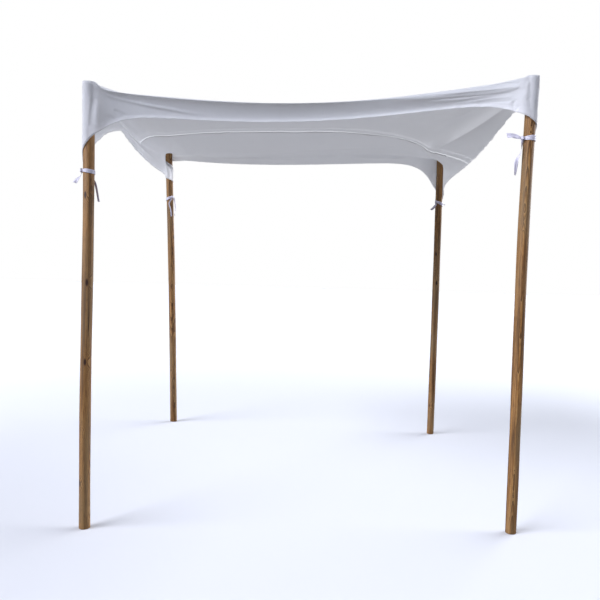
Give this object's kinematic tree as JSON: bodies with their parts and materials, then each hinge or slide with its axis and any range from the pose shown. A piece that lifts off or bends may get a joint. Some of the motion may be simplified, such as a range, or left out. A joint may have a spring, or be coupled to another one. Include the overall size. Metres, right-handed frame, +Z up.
{
  "type": "canopy",
  "caption": "Wedding canopy: a square of white stretch cloth laid over free-standing stained wooden poles and tied to each with a ribbon.",
  "frame": {"origin": "on the floor at the middle of the footprint", "axes": "+Z up, front at -Y, +X to the right as seen from the front"},
  "size_m": [2.4622, 2.4938, 2.4374],
  "materials": {
    "wood": "satin",
    "cloth": "matte",
    "hem": "matte",
    "ribbon": "satin"
  },
  "bodies": {
    "root": {"pole_front_left": "wood", "pole_front_right": "wood", "pole_back_left": "wood", "pole_back_right": "wood", "cloth_top_front": "cloth", "cloth_top_back": "cloth", "skirt_front": "cloth", "skirt_back": "cloth", "skirt_left_front": "cloth", "skirt_left_back": "cloth", "skirt_right_front": "cloth", "skirt_right_back": "cloth", "hood_front_left": "cloth", "hood_front_right": "cloth", "hood_back_left": "cloth", "hood_back_right": "cloth", "hem_front": "hem", "hem_back": "hem", "hem_left": "hem", "hem_right": "hem", "seam_centre": "hem", "tie_band_front_left": "ribbon", "tie_band_front_right": "ribbon", "tie_band_back_left": "ribbon", "tie_band_back_right": "ribbon", "tie_knot_front_left": "ribbon", "tie_knot_front_right": "ribbon", "tie_knot_back_left": "ribbon", "tie_knot_back_right": "ribbon", "tie_tail_front_left_1": "ribbon", "tie_tail_front_left_2": "ribbon", "tie_tail_front_right_1": "ribbon", "tie_tail_front_right_2": "ribbon", "tie_tail_back_left_1": "ribbon", "tie_tail_back_left_2": "ribbon", "tie_tail_back_right_1": "ribbon", "tie_tail_back_right_2": "ribbon"}
  },
  "joints": []
}
